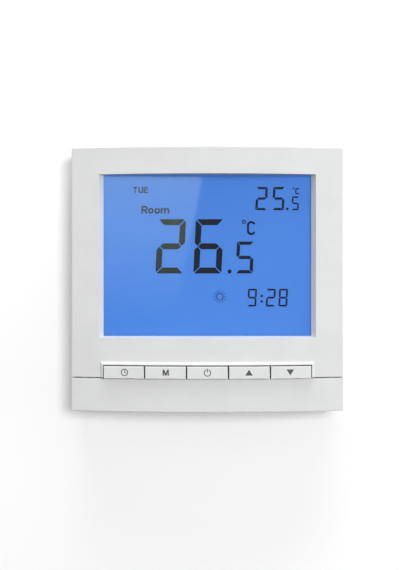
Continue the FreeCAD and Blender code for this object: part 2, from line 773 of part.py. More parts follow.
def make_header_spacer():
    half_wide = s.pin_pitch * PIN_COLUMNS / 2
    half_tall = s.pin_pitch * PIN_ROWS / 2
    top = board_back + s.spacer_height
    base = box("spacer_base", (-half_wide, board_back, s.header_z - half_tall),
               (half_wide, top, s.header_z + half_tall))
    side = s.pin_side / 2
    holes = [box(f"spacer_hole_{number}", (x - side, board_back - OVERCUT, z - side),
                 (x + side, top + OVERCUT, z + side)) for number, (x, z) in enumerate(pin_places())]
    return cut("header_spacer", base, holes)


def make_header_pins():
    side = s.pin_side / 2
    pins = [box(f"pin_{number}", (x - side, board_back, z - side), (x + side, s.pin_reach, z + side))
            for number, (x, z) in enumerate(pin_places())]
    return gathered("header_pins", pins)


# ---------------------------------------------------------------- wall side

plate_front = -s.plate_thickness
tab_front = plate_front - s.tab_thickness
tub_half = s.tub_width / 2
tub_inner = tub_half - s.tub_wall
board_y = s.power_reach
board_rear = s.power_reach + s.board_thickness


def make_mounting_plate():
    """Sheet steel with an opening for the rear housing and two slots for the wall screws."""
    body = new_body("mounting_plate")
    wide = s.plate_width / 2
    tall = s.plate_height / 2
    add_box(body, (-wide, plate_front, -tall), (wide, 0, tall))
    opening = outline(body, "XZ_Plane", 0, octagon(s.tub_width + s.opening_gap * 2, s.tub_chamfer))
    extrude(body, "Pocket", opening, s.plate_thickness + 1, reverse=True)
    reach = s.slot_length / 2 - s.slot_radius
    front = plate_front - OVERCUT
    through = s.plate_thickness + OVERCUT * 2
    for side in (-1, 1):
        centre = s.wall_screw_pitch / 2 * side
        cut_box(body, (centre - reach, front, -s.slot_radius), (centre + reach, OVERCUT, s.slot_radius))
        for end in (-1, 1):
            cut_rod(body, (centre + reach * end, front, 0), through, s.slot_radius)
        notch = mirrored(side, s.rib_x - s.rib_gap, wide + OVERCUT)
        for middle in (-s.rib_height, s.rib_height):
            half = s.rib_width / 2 + s.rib_gap
            cut_box(body, (notch[0], front, middle - half), (notch[1], OVERCUT, middle + half))
        for height in (-s.tab_screw_z, s.tab_screw_z):
            cut_rod(body, (s.tab_screw_x * side, front, height), through,
                    s.tab_screw_radius + s.running_gap)
    round_edges(body, s.plate_corner, lambda edge: is_plate_corner(edge, wide, tall))
    return body


def is_plate_corner(edge, wide, tall):
    middle = edge_middle(edge)
    return near(abs(middle.x), wide) and near(abs(middle.z), tall) and near(middle.y, plate_front / 2)


def make_rear_housing():
    """A tub with cut corners that goes into the wall box, with a tab above and below."""
    body = new_body("rear_housing")
    shell = outline(body, "XZ_Plane", -s.tub_reach, octagon(s.tub_width, s.tub_chamfer))
    extrude(body, "Pad", shell, s.tub_reach - tab_front)
    inner_chamfer = s.tub_chamfer - s.tub_wall * (2 - math.sqrt(2))
    hollow = outline(body, "XZ_Plane", s.tub_floor - s.tub_reach, octagon(tub_inner * 2, inner_chamfer))
    extrude(body, "Pocket", hollow, s.tub_reach - tab_front + OVERCUT, reverse=True)
    for side in (-1, 1):
        low_z, high_z = mirrored(side, tub_half - s.tub_wall, tub_half + s.tab_height)
        half = s.tab_width / 2
        add_box(body, (-half, tab_front, low_z), (half, plate_front, high_z))
        for across in (-1, 1):
            cut_rod(body, (s.tab_screw_x * across, tab_front - OVERCUT, s.tab_screw_z * side),
                    s.tab_thickness + OVERCUT * 2, s.tab_hole_radius)
    for pole in range(POLES):
        x = pole_x(pole)
        cut_rod(body, (x, s.entry_y, -tub_half - OVERCUT), s.tub_wall + OVERCUT * 2,
                s.entry_radius + s.wire_play, "z")
        cut_rod(body, (x, s.tub_reach - s.tub_floor - OVERCUT, -s.pole_z), s.tub_floor + OVERCUT * 2,
                s.driver_hole_radius)
    return body


def make_inner_cover():
    """An insulating lid inside the tub's mouth, open for the socket and slotted for cooling."""
    body = new_body("inner_cover")
    side = (tub_inner - s.cover_gap) * 2
    front = tab_front + s.cover_sunk
    back = front + s.cover_thickness
    plate = outline(body, "XZ_Plane", -back, octagon(side, s.tub_chamfer - s.tub_wall / 2))
    extrude(body, "Pad", plate, s.cover_thickness)
    half_wide = s.pin_pitch * PIN_COLUMNS / 2 + s.socket_gap
    half_tall = s.pin_pitch * PIN_ROWS / 2 + s.socket_gap
    cut_box(body, (-half_wide, front - OVERCUT, s.header_z - half_tall),
            (half_wide, back + OVERCUT, s.header_z + half_tall))
    for number in range(COVER_SLOTS):
        low = s.cover_slot_pitch * number - s.cover_slot_drop
        cut_box(body, (-s.cover_slot_half, front - OVERCUT, low),
                (s.cover_slot_half, back + OVERCUT, low + s.cover_slot_width))
    for across in (-1, 1):
        low_x, high_x = mirrored(across, s.post_x, s.post_x + s.post_side)
        add_box(body, (low_x, back - s.cover_thickness / 2, -s.post_side / 2),
                (high_x, board_y, s.post_side / 2))
    return body


def make_housing_screws():
    """Four slotted screws through the tub's tabs into the plate."""
    screws = []
    back = tab_front
    front = back - s.tab_head_height
    wide = s.tab_head_radius + OVERCUT
    for across in (-1, 1):
        for side in (-1, 1):
            number = len(screws) + 1
            x, z = s.tab_screw_x * across, s.tab_screw_z * side
            shank = rod(f"housing_shank_{number}", (x, back - s.tab_head_height / 2, z),
                        s.tab_head_height / 2 - back, s.tab_screw_radius)
            head = rod(f"housing_head_{number}", (x, front, z), s.tab_head_height, s.tab_head_radius)
            slot = box(f"housing_slot_{number}", (x - wide, front - OVERCUT, z - s.tab_slot_half),
                       (x + wide, front + s.tab_slot_depth, z + s.tab_slot_half))
            screws.append(cut(f"housing_screw_{number}", fused(f"housing_bolt_{number}", [shank, head]),
                              [slot]))
    return gathered("housing_screws", screws)


# ---------------------------------------------------------------- power board


def make_power_board():
    body = new_body("power_board")
    plate = outline(body, "XZ_Plane", -board_rear, octagon(s.power_side, s.power_chamfer))
    extrude(body, "Pad", plate, s.board_thickness)
    return body


def make_header_socket():
    half_wide = s.pin_pitch * PIN_COLUMNS / 2
    half_tall = s.pin_pitch * PIN_ROWS / 2
    base = box("socket_base", (-half_wide, -s.socket_front, s.header_z - half_tall),
               (half_wide, board_y, s.header_z + half_tall))
    side = s.pin_hole / 2
    holes = [box(f"socket_hole_{number}", (x - side, -s.socket_front - OVERCUT, z - side),
                 (x + side, s.pin_reach + OVERCUT, z + side)) for number, (x, z) in enumerate(pin_places())]
    return cut("header_socket", base, holes)


def make_block(name, part, height, radius):
    """A moulded block on the back of the power board, rounded on all but its foot."""
    body = new_body(name)
    left, right, low, high = footprint(part)
    add_box(body, (left, board_rear, low), (right, board_rear + height, high))
    round_edges(body, radius, lambda edge: not near(edge_middle(edge).y, board_rear))
    return body


def make_transformer_core():
    """Two E-shaped halves: a closed ring with a centre leg inside the coil."""
    left, right, low, high = footprint("core")
    front, back = board_rear + s.core_standoff, board_rear + s.core_height
    outer = box("core_outer", (left, front, low), (right, back, high))
    middle = (left + right) / 2
    gaps = []
    for side in (-1, 1):
        start, end = (length + middle for length in
                      mirrored(side, s.core_leg / 2, (right - left) / 2 - s.core_side))
        gaps.append(box(f"core_gap_{len(gaps)}", (start, front - OVERCUT, low + s.core_side),
                        (end, back + OVERCUT, high - s.core_side)))
    return cut("transformer_core", outer, gaps)


def make_transformer_coil():
    """The wound bobbin round the centre leg, standing on two pin rails."""
    left, right, low, high = footprint("core")
    inset = s.core_side + s.coil_gap
    left, right, low, high = left + inset, right - inset, low + inset, high - inset
    front = board_rear + s.core_standoff - s.coil_wall
    back = board_rear + s.core_height + s.coil_wall
    coil = box("coil_block", (left, front, low), (right, back, high))
    middle = (left + right) / 2
    half = s.core_leg / 2 + s.coil_gap
    leg = box("coil_bore", (middle - half, front + s.coil_wall - s.running_gap, low - OVERCUT),
              (middle + half, back - s.coil_wall + s.running_gap, high + OVERCUT))
    rails = [box("rail_low", (left, board_rear, low), (right, front + s.coil_gap, low + s.rail_width)),
             box("rail_high", (left, board_rear, high - s.rail_width), (right, front + s.coil_gap, high))]
    return cut("transformer_coil", fused("coil_solid", [coil] + rails), [leg])


def make_electrolytics():
    """Two upright cans on the front of the power board."""
    sizes = ((s.large_can_x, s.large_can_z, s.large_can_radius, s.large_can_height),
             (s.small_can_x, s.small_can_z, s.small_can_radius, s.small_can_height))
    cans = []
    for number, (x, z, radius, height) in enumerate(sizes):
        rim = doc.addObject("Part::Fillet", f"can_rim_{number}")
        rim.Base = rod(f"can_{number}", (x, board_y - height, z), height, radius)
        rim.Edges = [(edge, s.can_round.value, s.can_round.value) for edge in (1, 3)]
        cans.append(rim)
    return gathered("electrolytic_capacitors", cans)


def make_varistor():
    """A coated disc on edge."""
    centre = (s.varistor_x, board_rear + s.varistor_standoff, s.varistor_low)
    return rod("varistor", centre, s.varistor_thickness, s.varistor_radius, "z")


def make_fuse():
    """A wire-ended tube lying above the board on its leads."""
    height = board_rear + s.fuse_standoff
    low = s.fuse_low - s.fuse_wire_out
    wire_length = s.fuse_length + s.fuse_wire_out * 2
    barrel = rod("fuse_barrel", (s.fuse_x, height, s.fuse_low), s.fuse_length, s.fuse_radius, "z")
    wire = rod("fuse_wire", (s.fuse_x, height, low), wire_length, s.fuse_wire_radius, "z")
    legs = [rod("fuse_leg_" + end, (s.fuse_x, board_rear, z), s.fuse_standoff + s.fuse_wire_out,
                s.fuse_leg_radius) for end, z in (("low", low), ("high", low + wire_length))]
    return fused("fuse", [barrel, wire] + legs)


# ---------------------------------------------------------------- terminals


def pole_x(pole):
    return s.pole_pitch * (pole - (POLES - 1) / 2)


def make_terminal_block():
    """Six chambers side by side, each with a wire entry below and a driver well behind."""
    low, high = -s.block_low, -s.block_high
    half = s.block_width / 2
    base = box("block_case", (-half, s.block_front, low), (half, s.block_back, high))
    reach = s.cage_half_width + s.cage_play
    length = s.cage_half_length + s.cage_play
    slit = s.contact_half_width + s.running_gap
    roof = s.terminal_head_y - s.chamber_roof
    openings = []
    for pole in range(POLES):
        x = pole_x(pole)
        openings += [
            box(f"chamber_{pole}", (x - reach, s.cage_front - s.cage_play * 2, -s.pole_z - length),
                (x + reach, roof, length - s.pole_z)),
            rod(f"neck_{pole}", (x, roof - OVERCUT, -s.pole_z), s.chamber_roof + OVERCUT * 2,
                s.terminal_screw_radius + s.cage_play),
            rod(f"well_{pole}", (x, s.terminal_head_y - s.cage_play, -s.pole_z), s.block_back - roof,
                s.terminal_head_radius + s.cage_play),
            rod(f"entry_{pole}", (x, s.entry_y, low - OVERCUT), s.block_low - s.pole_z,
                s.entry_radius, "z"),
            box(f"slit_{pole}", (x - slit, s.contact_front - s.running_gap, -s.contact_low - s.cage_play * 3),
                (x + slit, s.contact_back + s.running_gap, high + OVERCUT)),
        ]
    return cut("terminal_block", base, openings)


def make_terminal_contacts():
    """Six strips that run from the cages over the block's back and down to the board."""
    strips = []
    bend = s.contact_back - s.contact_front
    high = -s.contact_high
    for pole in range(POLES):
        x = pole_x(pole)
        left, right = x - s.contact_half_width, x + s.contact_half_width
        bar = box(f"bar_{pole}", (left, s.contact_front, -s.contact_low), (right, s.contact_back, high))
        leg = box(f"leg_{pole}", (left, board_rear, high - bend), (right, s.contact_back, high))
        strips.append(fused(f"strip_{pole}", [bar, leg]))
    return gathered("terminal_contacts", strips)


def make_terminal_cage(pole):
    """A box clamp with a tapped top; the wire and the contact strip pass through its window."""
    x = pole_x(pole)
    wide, length = s.cage_half_width, s.cage_half_length
    base = box(f"cage_case_{pole}", (x - wide, s.cage_front, -s.pole_z - length),
               (x + wide, s.cage_top, length - s.pole_z))
    window = box(f"cage_window_{pole}",
                 (x - wide + s.cage_side, s.cage_front + s.cage_floor, -s.pole_z - length - OVERCUT),
                 (x + wide - s.cage_side, s.cage_head, length - s.pole_z + OVERCUT))
    thread = rod(f"cage_thread_{pole}", (x, s.cage_head - OVERCUT, -s.pole_z),
                 s.cage_top - s.cage_head + OVERCUT * 2, s.terminal_screw_radius + s.running_gap)
    return cut(f"terminal_cage_{pole + 1}", base, [window, thread])


def make_terminal_screw(pole):
    x = pole_x(pole)
    shank = rod(f"shank_{pole}", (x, s.terminal_screw_tip, -s.pole_z),
                s.terminal_head_y - s.terminal_screw_tip + s.terminal_head / 2, s.terminal_screw_radius)
    head = rod(f"head_{pole}", (x, s.terminal_head_y, -s.pole_z), s.terminal_head, s.terminal_head_radius)
    wide = s.terminal_head_radius + OVERCUT
    half = s.driver_slot / 2
    slot = box(f"slot_{pole}", (x - wide, s.terminal_head_y + s.terminal_head / 2, -s.pole_z - half),
               (x + wide, s.terminal_head_y + s.terminal_head + OVERCUT, half - s.pole_z))
    return cut(f"terminal_screw_{pole + 1}", fused(f"screw_solid_{pole}", [shank, head]), [slot])


# ---------------------------------------------------------------- build and write


def make_everything():
    parts = [
        make_front_fascia(), make_lower_fascia(), make_display_window(), make_lcd_front_glass(),
        make_lcd_rear_glass(), make_zebra_strip(), make_sheet("diffuser_sheet", diffuser_front),
        make_light_guide(), make_sheet("reflector_sheet", reflector_front), make_backlight_leds(),
        make_lcd_frame(), make_display_board(), make_board_screws(), make_microcontroller(),
        make_clock_crystal(), make_coin_cell(), make_coin_cell_clip(), make_room_sensor(),
        make_header_spacer(), make_header_pins(), make_switch_bodies(), make_mounting_plate(),
        make_rear_housing(), make_inner_cover(), make_housing_screws(), make_power_board(),
        make_header_socket(), make_block("relay", "relay", s.relay_height, s.relay_round),
        make_transformer_core(), make_transformer_coil(),
        make_block("filter_capacitor", "film", s.film_height, s.film_round),
        make_electrolytics(), make_varistor(), make_fuse(),
        make_terminal_block(), make_terminal_contacts(),
    ]
    for number in range(len(KEY_NAMES)):
        parts += [make_key(number), make_plunger(number)]
    for pole in range(POLES):
        parts += [make_terminal_cage(pole), make_terminal_screw(pole)]
    return parts


def check_everything(parts):
    for thing in doc.Objects:
        if "Invalid" in thing.State or "Error" in thing.State:
            raise RuntimeError(f"{thing.Label} did not rebuild: {thing.State}")
    for part in parts:
        if part.Shape.isNull() or not part.Shape.isValid():
            raise RuntimeError(f"{part.Label} has no valid shape")


def write_everything(parts):
    os.makedirs("parts", exist_ok=True)
    for part in parts:
        part.Shape.exportStep(f"parts/{part.Label}.step")


all_parts = make_everything()
doc.recompute()
check_everything(all_parts)
write_everything(all_parts)
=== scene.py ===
import math

import bmesh
import bpy
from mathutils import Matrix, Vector


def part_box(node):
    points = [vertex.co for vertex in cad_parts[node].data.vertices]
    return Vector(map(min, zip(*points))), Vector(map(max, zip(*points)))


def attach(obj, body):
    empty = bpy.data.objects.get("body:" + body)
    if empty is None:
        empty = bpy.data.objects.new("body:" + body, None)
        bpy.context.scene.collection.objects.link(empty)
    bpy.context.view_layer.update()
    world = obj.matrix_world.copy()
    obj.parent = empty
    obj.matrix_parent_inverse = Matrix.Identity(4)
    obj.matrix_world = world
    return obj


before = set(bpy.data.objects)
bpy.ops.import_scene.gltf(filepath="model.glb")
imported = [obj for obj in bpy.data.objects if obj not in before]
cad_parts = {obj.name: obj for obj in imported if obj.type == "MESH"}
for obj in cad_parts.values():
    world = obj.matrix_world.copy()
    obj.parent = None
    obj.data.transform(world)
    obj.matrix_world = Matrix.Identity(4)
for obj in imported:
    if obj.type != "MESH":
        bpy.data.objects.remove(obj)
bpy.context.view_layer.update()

MM = 0.001
KEYS = ("clock", "mode", "power", "up", "down")
POLES = range(1, 7)


# ---------------------------------------------------------------- material helpers

TRACK_PITCH = 1.3 * MM
WAVE_FACTOR = 20  # Blender's wave texture multiplies its coordinate by this


class Nodes:
    """A material's node tree, with short calls for the nodes that the surfaces here use."""

    def __init__(self, name):
        self.material = bpy.data.materials.new(name)
        self.material.use_nodes = True
        self.tree = self.material.node_tree
        self.shader = self.tree.nodes["Principled BSDF"]
        self.output = self.tree.nodes["Material Output"]
        self.place = self.add("ShaderNodeTexCoord").outputs["Object"]

    def add(self, kind, **settings):
        node = self.tree.nodes.new(kind)
        for name, value in settings.items():
            setattr(node, name, value)
        return node

    def link(self, start, end):
        self.tree.links.new(start, end)

    def stretched(self, scale):
        """Object coordinates multiplied axis by axis."""
        mapping = self.add("ShaderNodeMapping")
        mapping.inputs["Scale"].default_value = scale
        self.link(self.place, mapping.inputs["Vector"])
        return mapping.outputs["Vector"]

    def noise(self, size, detail=2.0, scale=None):
        """Noise whose features are about size metres across."""
        noise = self.add("ShaderNodeTexNoise")
        noise.inputs["Scale"].default_value = 1 / size
        noise.inputs["Detail"].default_value = detail
        self.link(self.stretched(scale) if scale else self.place, noise.inputs["Vector"])
        return noise.outputs["Fac"]

    def spread(self, factor, low, high, start=0.3, end=0.7):
        """A factor's run from start to end brought to low to high."""
        spread = self.add("ShaderNodeMapRange")
        for name, value in zip(("From Min", "From Max", "To Min", "To Max"), (start, end, low, high)):
            spread.inputs[name].default_value = value
        self.link(factor, spread.inputs["Value"])
        return spread.outputs["Result"]

    def blended(self, factor, first, second):
        """A colour from first to second by the factor."""
        mix = self.add("ShaderNodeMix", data_type="RGBA")
        self.link(factor, mix.inputs["Factor"])
        for socket, colour in ((mix.inputs["A"], first), (mix.inputs["B"], second)):
            if isinstance(colour, tuple):
                socket.default_value = (*colour, 1)
            else:
                self.link(colour, socket)
        return mix.outputs["Result"]

    def combined(self, operation, first, second):
        """Two factors brought together by a math operation."""
        result = self.add("ShaderNodeMath", operation=operation)
        self.link(first, result.inputs[0])
        self.link(second, result.inputs[1])
        return result.outputs["Value"]

    def tracks(self, across):
        """Thin parallel lines, TRACK_PITCH apart along the axis named."""
        waves = self.add("ShaderNodeTexWave", bands_direction=across)
        waves.inputs["Scale"].default_value = math.tau / (WAVE_FACTOR * TRACK_PITCH)
        self.link(self.place, waves.inputs["Vector"])
        return self.spread(waves.outputs["Fac"], 0, 1, 0.72, 0.8)

    def bump(self, height, strength, distance, after=None):
        bump = self.add("ShaderNodeBump")
        bump.inputs["Strength"].default_value = strength
        bump.inputs["Distance"].default_value = distance
        self.link(height, bump.inputs["Height"])
        if after:
            self.link(after, bump.inputs["Normal"])
        return bump.outputs["Normal"]

    def surface(self, **values):
        """Set the shader's sockets: numbers and colours directly, node outputs by a link."""
        for name, value in values.items():
            socket = self.shader.inputs[name.replace("_", " ")]
            if isinstance(value, bpy.types.NodeSocket):
                self.link(value, socket)
            elif isinstance(value, tuple):
                socket.default_value = (*value, 1)
            else:
                socket.default_value = value
        return self.material


def shade(colour, share):
    return tuple(part * share for part in colour)


def moulded(name, colour, rough=0.45, grain=0.25 * MM, depth=0.006 * MM, mottle=0.03, shine=0.5):
    """Spark-textured moulding: fine grain in the bump, faint flow mottling in colour and gloss."""
    nodes = Nodes(name)
    cloud = nodes.noise(9 * MM, 3)
    fine = nodes.noise(grain, 2)
    tint = nodes.blended(nodes.spread(cloud, 0, 1), shade(colour, 1 - mottle), shade(colour, 1 + mottle / 2))
    gloss = nodes.spread(nodes.noise(grain * 3, 3), rough - 0.05, rough + 0.06)
    skin = nodes.bump(fine, 0.7, depth)
    return nodes.surface(Base_Color=tint, Roughness=gloss, Normal=skin, Specular_IOR_Level=shine)


def plated(name, colour, rough=0.3, along=(1, 1, 1), streak=0.12 * MM, metal=1.0):
    """Plated sheet metal with faint drawing lines and a cloudy coating."""
    nodes = Nodes(name)
    lines = nodes.noise(streak, 3, along)
    cloud = nodes.noise(7 * MM, 4)
    tint = nodes.blended(nodes.spread(cloud, 0, 1), shade(colour, 0.86), colour)
    gloss = nodes.spread(cloud, rough - 0.06, rough + 0.12)
    skin = nodes.bump(lines, 0.5, 0.006 * MM)
    return nodes.surface(Base_Color=tint, Roughness=gloss, Normal=skin, Metallic=metal)


def dress(material, *names):
    """Give CAD nodes or new pieces this material in every slot."""
    for name in names:
        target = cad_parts[name] if isinstance(name, str) else name
        if not target.material_slots:
            target.data.materials.append(material)
        for slot in target.material_slots:
            slot.material = material


# ---------------------------------------------------------------- materials

WHITE = (0.66, 0.665, 0.665)


def make_lens_material():
    """Clear plastic: only its polished skin shows, and light passes on to the display."""
    nodes = Nodes("lens_plastic")
    wave = nodes.noise(14 * MM, 2)
    skin = nodes.bump(wave, 0.15, 0.02 * MM)
    gloss = nodes.spread(nodes.noise(2 * MM, 4), 0.02, 0.05)
    return nodes.surface(Base_Color=(0.02, 0.03, 0.06), Alpha=0.22, Roughness=gloss, Normal=skin,
                         Coat_Weight=1.0, Coat_Roughness=0.02)


def make_display_material():
    """Blue liquid crystal with its backlight: a lit layer that still shows the shadow of the rim."""
    nodes = Nodes("blue_display")
    glow = nodes.noise(30 * MM, 2)
    colour = nodes.blended(nodes.spread(glow, 0, 1), (0.090, 0.315, 0.99), (0.094, 0.325, 1.0))
    skin = nodes.bump(nodes.noise(0.12 * MM, 1), 0.1, 0.002 * MM)
    return nodes.surface(Base_Color=colour, Roughness=0.35, Normal=skin, Emission_Color=colour,
                         Emission_Strength=0.46, Specular_IOR_Level=0.2)


def make_board_material():
    """Green solder resist over patches of parallel copper tracks, some level and some upright."""
    nodes = Nodes("circuit_board")
    patches = nodes.noise(11 * MM, 1)
    level = nodes.combined("MULTIPLY", nodes.tracks("Z"), nodes.spread(patches, 0, 1, 0.53, 0.54))
    upright = nodes.combined("MULTIPLY", nodes.tracks("X"), nodes.spread(patches, 1, 0, 0.44, 0.45))
    copper = nodes.combined("MAXIMUM", level, upright)
    cloud = nodes.noise(5 * MM, 3)
    resist = nodes.blended(nodes.spread(cloud, 0, 1), (0.008, 0.085, 0.03), (0.012, 0.12, 0.045))
    tint = nodes.blended(copper, resist, (0.025, 0.19, 0.065))
    skin = nodes.bump(copper, 0.6, 0.035 * MM)
    skin = nodes.bump(nodes.noise(0.3 * MM, 2), 0.15, 0.01 * MM, skin)
    return nodes.surface(Base_Color=tint, Roughness=nodes.spread(cloud, 0.22, 0.4), Normal=skin)


def make_film_material():
    """Satin white film, a little cloudy."""
    nodes = Nodes("white_film")
    cloud = nodes.noise(12 * MM, 2)
    tint = nodes.blended(cloud, (0.82, 0.83, 0.85), (0.88, 0.89, 0.9))
    skin = nodes.bump(nodes.noise(0.08 * MM, 2), 0.3, 0.003 * MM)
    return nodes.surface(Base_Color=tint, Roughness=nodes.spread(cloud, 0.3, 0.45), Normal=skin)


def make_acrylic_material():
    """Light guide: clear acrylic with a faint grid of dots that lets the light out."""
    nodes = Nodes("clear_acrylic")
    dots = nodes.add("ShaderNodeTexVoronoi")
    dots.inputs["Scale"].default_value = 1 / (1.6 * MM)
    dots.inputs["Randomness"].default_value = 0.0
    nodes.link(nodes.place, dots.inputs["Vector"])
    spots = nodes.spread(dots.outputs["Distance"], 1, 0, 0.2, 0.3)
    tint = nodes.blended(spots, (0.75, 0.85, 0.95), (0.95, 0.97, 1.0))
    return nodes.surface(Base_Color=tint, Roughness=nodes.spread(spots, 0.08, 0.4, 0, 1), Alpha=0.55)


def make_wound_material():
    """Yellow tape over a winding, with the edges of its turns showing."""
    nodes = Nodes("coil_tape")
    turns = nodes.noise(0.5 * MM, 1, (0.15, 1, 0.15))
    tint = nodes.blended(nodes.spread(turns, 0, 1), (0.62, 0.42, 0.04), (0.75, 0.55, 0.07))
    skin = nodes.bump(turns, 0.6, 0.05 * MM)
    return nodes.surface(Base_Color=tint, Roughness=nodes.spread(turns, 0.3, 0.5), Normal=skin)


def make_ink_material(name, colour):
    """Printed or lit ink, faintly uneven."""
    nodes = Nodes(name)
    cloud = nodes.noise(1.5 * MM, 3)
    tint = nodes.blended(nodes.spread(cloud, 0, 1), colour, shade(colour, 1.3))
    skin = nodes.bump(nodes.noise(0.1 * MM, 1), 0.1, 0.001 * MM)
    return nodes.surface(Base_Color=tint, Roughness=nodes.spread(cloud, 0.4, 0.5), Normal=skin,
                         Specular_IOR_Level=0.2)


def dress_front_unit():
    dress(moulded("white_case_plastic", WHITE), "front_fascia", "lower_fascia")
    dress(moulded("white_key_plastic", shade(WHITE, 1.02), rough=0.4, grain=0.2 * MM),
          *("button_" + key for key in KEYS))
    dress(make_lens_material(), "display_window")
    dress(make_display_material(), "lcd_front_glass")
    dress(moulded("rear_glass", (0.05, 0.12, 0.3), rough=0.12, depth=0.001 * MM), "lcd_rear_glass")
    dress(moulded("black_rubber", (0.02, 0.02, 0.022), rough=0.7), "zebra_strip")
    dress(make_film_material(), "diffuser_sheet", "reflector_sheet")
    dress(make_acrylic_material(), "light_guide")
    dress(moulded("lamp_resin", (0.75, 0.72, 0.45), rough=0.3), "backlight_leds")
    dress(moulded("frame_plastic", (0.8, 0.8, 0.8), rough=0.5), "lcd_frame")
    dress(moulded("sensor_resin", (0.015, 0.015, 0.018), rough=0.25), "room_sensor")


def dress_boards_and_metal():
    dress(make_board_material(), "display_board", "power_board")
    dress(plated("zinc_screws", (0.72, 0.73, 0.75), 0.3), "display_board_screws", "housing_screws",
          *(f"terminal_screw_{pole}" for pole in POLES))
    dress(plated("zinc_sheet", (0.72, 0.74, 0.76), 0.38, (0.1, 1, 1.6), metal=0.8), "mounting_plate")
    dress(moulded("black_resin", (0.018, 0.018, 0.02), rough=0.5, grain=0.15 * MM), "microcontroller")
    dress(moulded("black_plastic", (0.02, 0.02, 0.022), rough=0.45), "header_spacer", "header_socket",
          "switch_bodies", "relay", *("switch_plunger_" + key for key in KEYS))
    dress(plated("nickel_can", (0.75, 0.74, 0.72), 0.22, (1, 1, 0.1)), "clock_crystal", "coin_cell",
          "coin_cell_clip")
    dress(plated("tinned_brass", (0.78, 0.68, 0.45), 0.25), "header_pins", "terminal_contacts",
          *(f"terminal_cage_{pole}" for pole in POLES))


def dress_wall_side():
    dress(moulded("grey_plastic", (0.55, 0.56, 0.57), rough=0.5, grain=0.4 * MM, depth=0.01 * MM),
          "rear_housing")
    dress(moulded("cover_plastic", (0.62, 0.63, 0.64), rough=0.45), "inner_cover")
    dress(moulded("ferrite", (0.03, 0.03, 0.033), rough=0.6, grain=0.1 * MM, mottle=0.2), "transformer_core")
    dress(make_wound_material(), "transformer_coil")
    dress(moulded("capacitor_resin", (0.55, 0.36, 0.03), rough=0.4), "filter_capacitor")
    dress(moulded("can_sleeve", (0.02, 0.03, 0.06), rough=0.25, depth=0.002 * MM), "electrolytic_capacitors")
    dress(moulded("blue_dip", (0.02, 0.09, 0.35), rough=0.2, grain=0.8 * MM, depth=0.02 * MM), "varistor")
    dress(moulded("fuse_coat", (0.2, 0.36, 0.24), rough=0.3, grain=0.8 * MM, depth=0.02 * MM), "fuse")
    dress(moulded("green_plastic", (0.03, 0.22, 0.08), rough=0.45), "terminal_block")


# ---------------------------------------------------------------- flat pieces


def new_piece(name, mesh, material, body):
    """A mesh in the CAD's frame becomes a piece that rides on a body."""
    piece = bpy.data.objects.new(name, mesh)
    bpy.context.scene.collection.objects.link(piece)
    mesh.materials.append(material)
    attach(piece, body)
    return piece


def flat_mesh(name, outlines, depth_at, thickness):
    """Plates cut to (x, z) outlines, in metres; their backs lie at Y depth_at(x)."""
    form = bmesh.new()
    for outline in outlines:
        back = [form.verts.new((x, depth_at(x), z)) for x, z in outline]
        front = [form.verts.new((x, depth_at(x) - thickness, z)) for x, z in outline]
        form.faces.new(front)
        form.faces.new(list(reversed(back)))
        count = len(outline)
        for side in range(count):
            following = (side + 1) % count
            form.faces.new((front[side], back[side], back[following], front[following]))
    bmesh.ops.triangulate(form, faces=[face for face in form.faces if len(face.verts) > 4])
    bmesh.ops.recalc_face_normals(form, faces=form.faces)
    mesh = bpy.data.meshes.new(name)
    form.to_mesh(mesh)
    form.free()
    return mesh


def arc_points(centre, radius, start, end, steps=24):
    """Points on an arc, by angles in degrees counted anticlockwise from +X."""
    angles = [math.radians(start + (end - start) * step / steps) for step in range(steps + 1)]
    return [(centre[0] + radius * math.cos(angle), centre[1] + radius * math.sin(angle)) for angle in angles]


def ribbon(path, width, closed=False):
    """Outlines of the short strips that make a line of this width along a path."""
    count = len(path)
    sides = []
    for place, point in enumerate(path):
        before = path[place - 1] if place or closed else point
        after = path[(place + 1) % count] if place < count - 1 or closed else point
        way = Vector((after[0] - before[0], after[1] - before[1])).normalized() * width / 2
        sides.append(((point[0] - way.y, point[1] + way.x), (point[0] + way.y, point[1] - way.x)))
    pairs = count if closed else count - 1
    strips = []
    for place in range(pairs):
        (left, right), (next_left, next_right) = sides[place], sides[(place + 1) % count]
        strips.append([right, next_right, next_left, left])
    return strips


def circle(centre, radius, sides):
    return arc_points(centre, radius, 0, 360 - 360 / sides, sides - 1)


def disc(centre, radius):
    return [circle(centre, radius, 24)]


def ring(centre, radius, width):
    return ribbon(circle(centre, radius, 36), width, closed=True)


def moved(outlines, right, up):
    return [[(x + right, z + up) for x, z in outline] for outline in outlines]


# ---------------------------------------------------------------- figures on the display

DIGIT_SEGMENTS = {"2": "abged", "5": "afgcd", "6": "afgecd", "8": "abcdefg", "9": "abcdfg"}
SLANT = math.tan(math.radians(2.75))


def segment_outlines(width, height, stroke, gap):
    """The seven segments of an upright digit, each as an (x, z) outline; gap is the hairline between."""
    cut = stroke * 0.3
    middle = height / 2
    half = stroke / 2
    side = gap * 0.7
    top_left = [(0, height - cut), (cut / 2, height - cut / 2 - side), (stroke, height - stroke - side),
                (stroke, middle + half + gap), (half, middle + gap / 2), (0, middle + half + gap / 2)]
    top = [(cut, height), (width - cut, height), (width - cut / 2 - side, height - cut / 2),
           (width - stroke - side, height - stroke), (stroke + side, height - stroke),
           (cut / 2 + side, height - cut / 2)]
    centre = [(half + gap / 2, middle), (stroke + side, middle + half),
              (width - stroke - side, middle + half),
              (width - half - gap / 2, middle), (width - stroke - side, middle - half),
              (stroke + side, middle - half)]
    across = [(width - x, z) for x, z in top_left]
    down = [[(x, height - z) for x, z in outline] for outline in (top_left, across, top)]
    return {"a": top, "b": across, "c": down[1], "d": down[2], "e": down[0], "f": top_left, "g": centre}


